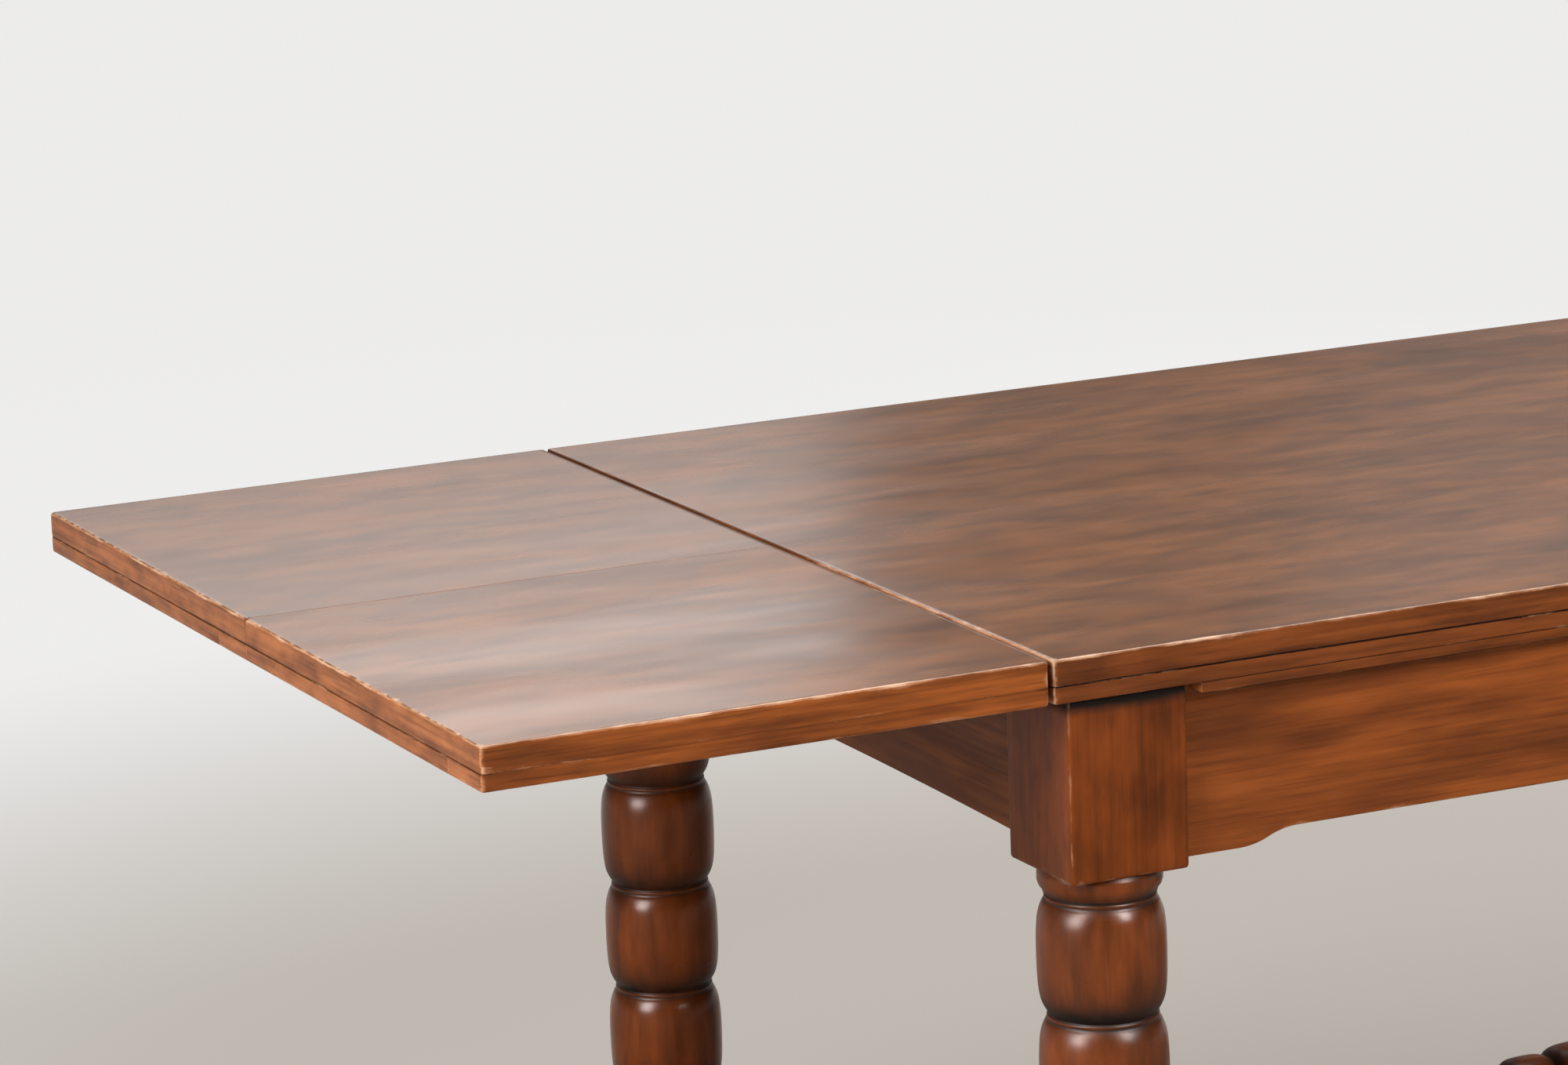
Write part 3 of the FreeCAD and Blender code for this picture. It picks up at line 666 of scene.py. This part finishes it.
def turning_tree(name, profile, glaze):
    """A node tree that turns a run of equal bobbins downwards from a level, each to the profile's rule."""
    tree, add, geometry, shader = new_tree(
        name, "Turning", Top="Float", Pitch="Float", Bobbins="Int", Bobbin_Radius="Float", Groove_Radius="Float",
        Rows="Int", Sides="Int", Wood="Material")
    maths, plus, times = sums(shader)

    def rule(points, value):
        node = shader("FloatCurve", {"Value": value})
        curve = node.mapping.curves[0]
        while len(curve.points) < len(points):
            curve.points.new(0.5, 0.5)
        for point, place in zip(curve.points, points):
            point.location = place
            point.handle_type = "AUTO_CLAMPED"
        node.mapping.update()
        return node

    asked = add("NodeGroupInput").outputs
    row = geometry("InputIndex")
    run = maths("DIVIDE", row, asked["Rows"])
    bobbin = maths("FLOOR", plus(run, row_tolerance))
    even = maths("SUBTRACT", run, bobbin)
    swing = maths("SINE", times(even, 2 * math.pi))
    place = maths("SUBTRACT", even, times(swing, row_crowding / (2 * math.pi)))
    level = maths("SUBTRACT", asked["Top"], times(plus(bobbin, place), asked["Pitch"]))
    swell = maths("SUBTRACT", asked["Bobbin Radius"], asked["Groove Radius"])
    radius = plus(asked["Groove Radius"], times(rule(profile, place), swell))
    rows = plus(times(asked["Rows"], asked["Bobbins"]), 1.0)
    line = geometry("MeshLine", {"Count": rows, "Offset": (0, 0, -row_gap)}, mode="OFFSET")
    axis = geometry("MeshToCurve", {"Mesh": line})
    lowered = shader("CombineXYZ", {"Z": level})
    axis = geometry("SetPosition", {"Geometry": axis, "Position": lowered})
    axis = geometry("SetCurveRadius", {"Curve": axis, "Radius": radius})
    axis = geometry("StoreNamedAttribute", {"Geometry": axis, "Name": "glaze",
                                            "Value": rule(glaze, place)}, data_type="FLOAT", domain="POINT")
    section = geometry("CurvePrimitiveCircle", {"Resolution": asked["Sides"], "Radius": 1.0})
    solid = geometry("CurveToMesh", {"Curve": axis, "Profile Curve": section, "Scale": geometry("InputRadius"),
                                     "Fill Caps": True})
    solid = geometry("SetShadeSmooth", {"Geometry": solid})
    solid = geometry("RealizeInstances", {"Geometry": solid})
    solid = geometry("SetMaterial", {"Geometry": solid, "Material": asked["Wood"]})
    add("NodeGroupOutput", {"Turning": solid})
    return tree


def grown(name, tree, places=(), **asked):
    """The plain mesh that a node tree makes with these inputs, and from these places where it starts from points."""
    seed_mesh = bpy.data.meshes.new(name)
    seed_mesh.from_pydata(places, [], [])
    holder = show(name, seed_mesh)
    modifier = holder.modifiers.new(tree.name, "NODES")
    modifier.node_group = tree
    for item in tree.interface.items_tree:
        if item.item_type == "SOCKET" and item.in_out == "INPUT" and item.socket_type != "NodeSocketGeometry":
            modifier[item.identifier] = asked[item.name.lower().replace(" ", "_")]
    view = bpy.context.evaluated_depsgraph_get()
    mesh = bpy.data.meshes.new_from_object(holder.evaluated_get(view))
    holder.modifiers.remove(modifier)
    bpy.data.objects.remove(holder)
    return mesh


def lathe_rings(outline, sides):
    """Rings of a turned solid about Z, from (radius, level, darkening) points."""
    rings = []
    for radius, level, glaze in outline:
        ring = []
        for side in range(sides):
            angle = 2 * math.pi * side / sides
            ring.append((radius * math.cos(angle), radius * math.sin(angle), level))
        rings.append((ring, [0.0] * sides, [glaze] * sides))
    return rings


def shift_pattern(mesh, centre, step):
    """Gives the whole mesh its own place in the pattern of its wood, by where its centre lies."""
    own = centre.x * step[0] + centre.y * step[1]
    mesh.attributes["shift"].data.foreach_set("value", [own] * len(mesh.vertices))


leg_colours = dict(light=(0.225, 0.050, 0.008), dark=(0.066, 0.016, 0.003), deep=(0.008, 0.003, 0.001))
turned_look = dict(**leg_colours, gloss=0.25, cloud=(5.0, 22.0), contrast=0.14, fibre=0.14, rubbed=0.2, polish=0.14)
turned_wood = stained_wood("turned_wood", "Z", **turned_look)
block_wood = stained_wood("block_wood", "Z", **leg_colours, cloud=(6.0, 15.0), contrast=0.13, fibre=0.2, rubbed=0.24,
                          polish=0.06)
block_bottom = 0.590
lower_block_top = 0.098
block_arris = 0.0026
block_top_arris = 0.0006
# Painted shadow: the upper blocks darken towards their tops, as under the overhang of the top.
block_top_painted_shadow = 1.6
block_shaded = 0.014
foot_top = 0.014
inner_arris_wear = 0.45
inner_arris_within = 0.7
leg_pattern_step = (3.1, 7.7)

bobbin_tree = turning_tree("bobbin_turning", bobbin_profile, bobbin_glaze_and_shade)
bobbins = grown("leg_bobbins", bobbin_tree, top=turning_top, pitch=(turning_top - turning_bottom) / bobbin_count,
                bobbins=bobbin_count, bobbin_radius=bobbin_radius, groove_radius=groove_radius, rows=bobbin_rows,
                sides=bobbin_sides, wood=turned_wood)
upper_collar = [
    (0.0405, 0.566, 1.0), (0.0408, 0.5705, 1.0), (0.0424, 0.5712, 0.8), (0.0428, 0.5732, 0.6), (0.0452, 0.5760, 0.3),
    (0.0464, 0.5795, 0.1), (0.0465, 0.5845, 0.1), (0.0462, 0.5870, 0.3), (0.0440, 0.5905, 0.8), (0.0440, 0.5940, 1.0)]
lower_collar = [
    (0.0440, 0.0940, 1.0), (0.0440, 0.0975, 0.8), (0.0460, 0.0995, 0.3), (0.0465, 0.1020, 0.1), (0.0463, 0.1070, 0.1),
    (0.0448, 0.1110, 0.3), (0.0428, 0.1136, 0.7), (0.0410, 0.1148, 1.0), (0.0405, 0.1190, 1.0)]
pad_foot = [
    (0.0400, 0.0040, 0.3), (0.0422, 0.0048, 0.2), (0.0436, 0.0064, 0.1), (0.0440, 0.0085, 0.1), (0.0436, 0.0112, 0.4),
    (0.0420, 0.0132, 0.9), (0.0415, 0.0180, 1.0)]
collars = []
for outline in (upper_collar, lower_collar, pad_foot):
    collars.append(ring_solid("collar", lathe_rings(outline, bobbin_sides)))

for end, row in quarters:
    node = f"leg_{row}_{end}"
    low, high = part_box(node)
    centre = (low + high) / 2
    half = (high.x - low.x) / 2
    square = rectangle(-half, half, -half, half, block_arris)
    upper = slab("upper_block", square, block_bottom, high.z, block_arris, block_top_arris,
                 dirt_and_shade=(0.0, block_top_painted_shadow), shaded=block_shaded)
    lower = slab("lower_block", square, foot_top, lower_block_top, block_arris, block_arris)
    mesh = merged(node + "_dressed", [bobbins, upper, lower] + collars, turn_outwards=True)
    mesh.transform(Matrix.Translation((centre.x, centre.y, 0)))
    shift_pattern(mesh, centre, leg_pattern_step)
    for vertex, wear in zip(mesh.vertices, mesh.attributes["wear"].data):
        outwards = min(abs(vertex.co.x) - abs(centre.x), abs(vertex.co.y) - abs(centre.y))
        if outwards < half * inner_arris_within:
            wear.value *= inner_arris_wear
    for face in mesh.polygons:
        if face.center.z > block_bottom or foot_top < face.center.z < lower_block_top:
            face.material_index = 1
    spot_lit_legs.objects.link(dress(node, mesh, "root", "turned_wood", turned_wood, block_wood))


# Stretchers: turned rods between the lower blocks, with a knop between two bobbins at the middle of each and a
# collar at each end. They are stained and waxed as the legs are.
rod_radius = 0.0195
knop_radius = 0.031
knop_length = 0.062
side_bobbin_radius = 0.026
side_bobbin_length = 0.046
stretcher_groove = 0.021
stretcher_sides = 40
end_collar_radius = 0.027
end_collar_length = 0.014
stretcher_rows = 28
stretcher_pattern_step = (2.3, 5.9)
rod_swell = 0.0004
rod_start = ((-0.002, -0.003), (-0.0003, 0.0015), (0.0, 0.004))
rod_end = ((0.0, -0.002), (-0.0002, 0.0))
collar_start = ((-0.003, 0.0004), (-0.0006, 0.003), (0.0, 0.007))
collar_end = ((-0.0006, -0.003), (-0.003, 0.0))
rod_glaze = (1.0, 0.7, 0.2, 0.0, 0.0, 0.0, 0.2, 0.9, 0.8, 0.1, 0.0, 0.2, 0.8)

turned_wood_x = stained_wood("turned_wood_x", "X", **turned_look)
turned_wood_y = stained_wood("turned_wood_y", "Y", **turned_look)


def stretcher_mesh(name, half, wood):
    """A stretcher along Z with its middle at the origin. half is half its length between the legs. Its rods and
    collars follow steps of (radius, length) past the bobbins, and past the collar's start and end."""
    run = knop_length / 2 + side_bobbin_length
    beads = []
    for top, length, radius in ((run, side_bobbin_length, side_bobbin_radius),
                                (knop_length / 2, knop_length, knop_radius),
                                (-knop_length / 2, side_bobbin_length, side_bobbin_radius)):
        beads.append(grown(name + "_bead", bobbin_tree, top=top, pitch=length, bobbins=1, bobbin_radius=radius,
                           groove_radius=stretcher_groove, rows=stretcher_rows, sides=stretcher_sides, wood=wood))
    collar = half - end_collar_length
    rod = [(rod_radius + step, run + along) for step, along in rod_start]
    for share in (0.25, 0.5, 0.75):
        rod.append((rod_radius + rod_swell * math.sin(math.pi * share), run + (half - run) * share))
    rod += [(rod_radius + step, collar + along) for step, along in rod_end]
    rod += [(end_collar_radius + step, collar + along) for step, along in collar_start]
    rod += [(end_collar_radius + step, half + along) for step, along in collar_end]
    for end in (-1, 1):
        outline = [(radius, end * along, glaze) for (radius, along), glaze in zip(rod, rod_glaze)]
        beads.append(ring_solid(name + "_rod", lathe_rings(outline, stretcher_sides)))
    return merged(name, beads, turn_outwards=True)


leg_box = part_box("leg_rear_right")
stretcher_level = (foot_top + lower_block_top) / 2
for name, axis, wood in (("stretcher_front", "Y", turned_wood_x), ("stretcher_rear", "Y", turned_wood_x),
                         ("end_stretcher_left", "X", turned_wood_y), ("end_stretcher_right", "X", turned_wood_y)):
    low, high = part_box(name)
    centre = (low + high) / 2
    half = leg_box[0].x if axis == "Y" else leg_box[0].y
    mesh = stretcher_mesh(name + "_dressed", half, wood)
    mesh.transform(Matrix.Translation((centre.x, centre.y, stretcher_level)) @ Matrix.Rotation(math.pi / 2, 4, axis))
    shift_pattern(mesh, centre, stretcher_pattern_step)
    dress(name, mesh, "root", "turned_wood", wood)


# Aprons: one board along each side and end, tenoned into the legs just behind their faces. The long ones step up
# by an ogee near each leg, and the end ones are gently arched, with a notch above for each loper.
apron_arris = 0.0014
end_apron_arris = 0.0005
apron_run_in = 0.002
frame_top = 0.729
apron_depth = 0.133
apron_rise = 0.0105
apron_flat = 0.046
ogee_run = 0.050
ogee_steps = 14
end_apron_depth = 0.122
end_apron_rise = 0.005
arch_steps = 24

apron_wood = stained_wood("apron_wood", "X", (0.33, 0.085, 0.017), (0.095, 0.026, 0.008), cloud=(2.4, 14.0),
                          contrast=0.13, fibre=0.24, polish=0.06)
end_apron_wood = stained_wood("end_apron_wood", "Y", (0.235, 0.070, 0.019), (0.095, 0.029, 0.010), gloss=0.42,
                              cloud=(2.4, 14.0), polish=0.05)


def ogee(start, end):
    """Points of an S-curve of two equal arcs that leaves start and reaches end level, without start itself."""
    run = (end[0] - start[0]) / 2
    rise = (end[1] - start[1]) / 2
    radius = (run ** 2 + rise ** 2) / (2 * abs(rise))
    whole = math.asin(abs(run) / radius)
    points = []
    for step in range(1, ogee_steps + 1):
        angle = whole * step / ogee_steps
        points.append((start[0] + math.copysign(radius * math.sin(angle), run),
                       start[1] + math.copysign(radius * (1 - math.cos(angle)), rise)))
    for x, z in reversed(points[:-1]):
        points.append((start[0] + end[0] - x, start[1] + end[1] - z))
    points.append(end)
    return points


def long_apron_outline(x1):
    """Straight above, with an ogee near each leg below. x1 is how far the legs stand from the middle."""
    low = frame_top - apron_depth
    high = low + apron_rise
    x2 = x1 - apron_flat
    x3 = x2 - ogee_run
    reach = x1 + apron_run_in
    points = [(-reach, low), (-x2, low)] + ogee((-x2, low), (-x3, high)) + [(x3, high)]
    points += ogee((x3, high), (x2, low)) + [(reach, low), (reach, frame_top), (-reach, frame_top)]
    return [(x, z, 0.0) for x, z in points]


def end_apron_outline(y1, notch):
    """Arched below, with the two notches of the lopers above. notch is (centre, half width, floor level)."""
    low = frame_top - end_apron_depth
    reach = y1 + apron_run_in
    points = []
    for step in range(arch_steps + 1):
        y = reach * (2 * step / arch_steps - 1)
        points.append((y, low + end_apron_rise * (1 - (y / reach) ** 2)))
    points.append((reach, frame_top))
    centre, half, floor_level = notch
    for middle in (centre, -centre):
        points += [(middle + half, frame_top), (middle + half, floor_level), (middle - half, floor_level),
                   (middle - half, frame_top)]
    points.append((-reach, frame_top))
    return [(y, z, 0.0) for y, z in points]


upright_across = Matrix.Rotation(math.pi / 2, 4, "X")
upright_along = Matrix(((0, 0, 1, 0), (1, 0, 0, 0), (0, 1, 0, 0), (0, 0, 0, 1)))
leg_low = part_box("leg_rear_right")[0]

for row, own in (("front", 0.7), ("rear", 5.2)):
    node = "apron_" + row
    low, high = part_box(node)
    mesh = slab(node + "_dressed", long_apron_outline(leg_low.x), -high.y, -low.y, apron_arris, apron_arris,
                shift=own)
    mesh.transform(upright_across)
    dress(node, mesh, "root", "apron_wood", apron_wood)

loper_low, loper_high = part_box("loper_right_rear")
loper_clearance = 0.0003
notch = ((loper_low.y + loper_high.y) / 2, (loper_high.y - loper_low.y) / 2 + loper_clearance,
         loper_low.z - loper_clearance)
for side, own in (("left", 2.2), ("right", 8.4)):
    node = "end_apron_" + side
    low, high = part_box(node)
    mesh = slab(node + "_dressed", end_apron_outline(leg_low.y, notch), low.x, high.x, end_apron_arris,
                end_apron_arris, shift=own)
    mesh.transform(upright_along)
    dress(node, mesh, "root", "apron_wood", end_apron_wood)


# Lopers: bars that slide out through the end aprons to carry a leaf. Each ends in an ogee nose, its edges are
# eased, and a square peg through its inner end stops it against the bearer. They are stained but not waxed.
loper_arris = 0.0012
nose_length = 0.070
nose_height = 0.022
nose_tip_height = 0.011
nose_steps = 5
loper_fade = 0.0045

loper_wood = stained_wood("loper_wood", "X", (0.24, 0.110, 0.050), (0.12, 0.055, 0.026),
                          deep=(0.04, 0.02, 0.012), gloss=0.48, cloud=(3.0, 24.0))


def loper_outline(inner, tip, low, high):
    """The side view of a loper whose tip points along +X."""
    throat = (tip - nose_tip_height, high - nose_height)
    points = [(inner, low), (tip - nose_length, low)] + ogee((tip - nose_length, low), throat)
    for step in range(1, nose_steps):
        angle = math.pi / 2 * step / nose_steps
        points.append((throat[0] + nose_tip_height * math.sin(angle),
                       throat[1] + (nose_height - nose_tip_height) * (1 - math.cos(angle))))
    points += [(tip, high - nose_tip_height), (tip, high), (inner, high)]
    return points


for end, row in quarters:
    node = f"loper_{end}_{row}"
    low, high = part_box(node)
    facing, inner, tip = (1, low.x, high.x) if end == "right" else (-1, -high.x, -low.x)
    outline = [(facing * x, z, 0.0) for x, z in loper_outline(inner, tip, low.z, high.z)][::facing]
    mesh = slab(node + "_dressed", outline, -high.y, -low.y, loper_arris, loper_arris, shift=low.x + 3 * low.y,
                fade=loper_fade)
    mesh.transform(upright_across)
    dress(node, mesh, f"{end}_{row}_loper", "inner_wood", loper_wood)


# Inner pieces: the pegs, bearers, centre rail, buttons and cleats are sawn and planed wood left without stain, and
# keep the shapes of their nodes.
unstained = dict(light=(0.36, 0.22, 0.12), dark=(0.25, 0.15, 0.08), deep=(0.10, 0.055, 0.03),
                 pale=(0.45, 0.30, 0.19), gloss=0.6, cloud=(3.0, 24.0))
inner_x = stained_wood("inner_wood_x", "X", **unstained)
inner_y = stained_wood("inner_wood_y", "Y", **unstained)


def finish_node(name, material):
    """Gives a node that stays as it is its own finish."""
    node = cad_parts[name]
    node.data.materials.clear()
    node.data.materials.append(material)


for name in ("centre_rail", "loper_bearer_left", "loper_bearer_right"):
    finish_node(name, inner_y)
finish_node("top_buttons", inner_x)
for end, row in quarters:
    finish_node(f"loper_peg_{end}_{row}", inner_y)
    finish_node(f"leaf_{end}_{row}_cleat", inner_x)


# Fastenings: slotted pan-head steel screws through the buttons and cleats, brass hinge cups sunk in the leaves'
# meeting edges, and plastic glides under the feet.
head_radius = 0.00425
head_height = 0.0025
screw_sizes = dict(head_radius=head_radius, head_height=head_height, head_sides=28, shank_radius=0.002,
                   shank_length=0.012, slot_width=0.0011, slot_depth=0.0012)
head_rings = 14
pan_fullness = 0.5
shank_sides = 16
screw_seed = 7
long_side_button_x = 0.650


def dulled_in_spots(name, clean, dull, scale, roughness, detail=4.0, relief=0.2, depth=0.0001, metallic=1.0):
    """A finish that has dulled in spots. clean and dull are each (place in the pattern, colour), and roughness goes
    from one to the other."""
    material = bpy.data.materials.new(name)
    add = shader_nodes(material)
    spots = add("TexNoise", {"Vector": add("TexCoord").outputs["Object"], "Scale": scale, "Detail": detail})
    rough = add("MapRange", {"Value": spots, "To Min": roughness[0], "To Max": roughness[1]})
    bump = add("Bump", {"Strength": relief, "Distance": depth, "Height": spots})
    colour = colour_ramp(add, spots, [clean, dull])
    finish = add("BsdfPrincipled", {"Base Color": colour, "Metallic": metallic, "Roughness": rough, "Normal": bump})
    add("OutputMaterial", {"Surface": finish})
    return material


def screw_tree(name):
    """A node tree that drives a screw up into the wood at every place, its slot turned at random."""
    tree, add, geometry, shader = new_tree(
        name, "Screws", Places="Geometry", Head_Radius="Float", Head_Height="Float", Head_Sides="Int",
        Shank_Radius="Float", Shank_Length="Float", Slot_Width="Float", Slot_Depth="Float", Seed="Int",
        Metal="Material")
    maths, plus, times = sums(shader)
    asked = add("NodeGroupInput").outputs
    ball = geometry("MeshUVSphere", {"Segments": asked["Head Sides"], "Rings": head_rings,
                                     "Radius": asked["Head Radius"]})
    at = shader("SeparateXYZ", {0: geometry("InputPosition")}).outputs
    part = maths("DIVIDE", at["Z"], asked["Head Radius"])
    full = maths("POWER", maths("ABSOLUTE", part), pan_fullness)
    level = times(times(full, maths("SIGN", part)), asked["Head Height"])
    pan = shader("CombineXYZ", {"X": at["X"], "Y": at["Y"], "Z": level})
    head = geometry("SetPosition", {"Geometry": ball, "Position": pan})
    slot_size = shader("CombineXYZ", {"X": times(asked["Head Radius"], 3.0), "Y": asked["Slot Width"],
                                      "Z": times(asked["Slot Depth"], 2.0)})
    slot = geometry("MeshCube", {"Size": slot_size})
    slot_at = shader("CombineXYZ", {"Z": times(asked["Head Height"], -1.0)})
    slot = geometry("Transform", {"Geometry": slot, "Translation": slot_at})
    head = geometry("MeshBoolean", {"Mesh 1": head, "Mesh 2": slot}, operation="DIFFERENCE",
                    solver="EXACT")
    shank = geometry("MeshCylinder", {"Vertices": shank_sides, "Radius": asked["Shank Radius"],
                                      "Depth": asked["Shank Length"]})
    shank_at = shader("CombineXYZ", {"Z": times(asked["Shank Length"], 0.5)})
    shank = geometry("Transform", {"Geometry": shank, "Translation": shank_at})
    screw = geometry("JoinGeometry")
    for half in (head, shank):
        tree.links.new(half.outputs[0], screw.inputs[0])
    turn = add("FunctionNodeRandomValue", {"Min": 0.0, "Max": math.pi, "Seed": asked["Seed"]}, data_type="FLOAT")
    upright = shader("CombineXYZ", {"Z": turn.outputs["Value"]})
    angle = add("FunctionNodeEulerToRotation", {0: upright})
    screws = geometry("InstanceOnPoints", {"Points": asked["Places"], "Instance": screw, "Rotation": angle})
    screws = geometry("RealizeInstances", {"Geometry": screws})
    screws = geometry("SetMaterial", {"Geometry": screws, "Material": asked["Metal"]})
    add("NodeGroupOutput", {"Screws": screws})
    return tree


screw_steel = dulled_in_spots("screw_steel", (0.42, (0.42, 0.40, 0.37)), (0.68, (0.22, 0.16, 0.11)),
                              scale=900.0, roughness=(0.30, 0.58))
hinge_brass = dulled_in_spots("hinge_brass", (0.42, (0.60, 0.43, 0.19)), (0.68, (0.33, 0.21, 0.09)),
                              scale=300.0, roughness=(0.26, 0.54))
glide_plastic = dulled_in_spots("glide_plastic", (0.4, (0.035, 0.033, 0.031)), (0.7, (0.085, 0.08, 0.075)),
                                scale=160.0, roughness=(0.42, 0.75), detail=5.0, relief=0.15, depth=0.0002,
                                metallic=0.0)
slotted_screw = screw_tree("slotted_screws")


def set_screws(node, body, places, seed):
    """Screws at the places, which are where their heads meet the wood, in place of the node's plain ones."""
    mesh = grown(node + "_dressed", slotted_screw, places, **screw_sizes, seed=seed, metal=screw_steel)
    mesh.materials.pop(index=0)
    mesh.shade_smooth()
    mesh.set_sharp_from_angle(angle=sharp_from)
    dress(node, mesh, body, "screw_steel")


low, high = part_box("button_screws")
wood_level = low.z + head_height
side_y = high.y - head_radius
end_x = high.x - head_radius
places = [(x, y, wood_level) for x in (-long_side_button_x, long_side_button_x) for y in (-side_y, side_y)]
places += [(-end_x, 0, wood_level), (end_x, 0, wood_level)]
set_screws("button_screws", "root", places, screw_seed)

for end, row in quarters:
    node = f"leaf_{end}_{row}_cleat_screws"
    low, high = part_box(node)
    places = [(x, (low.y + high.y) / 2, low.z + head_height) for x in (low.x + head_radius, high.x - head_radius)]
    screw_seed += 1
    set_screws(node, f"{end}_{row}_leaf", places, screw_seed)
    finish_node(f"leaf_{end}_{row}_hinge_cups", hinge_brass)

finish_node("foot_glides", glide_plastic)
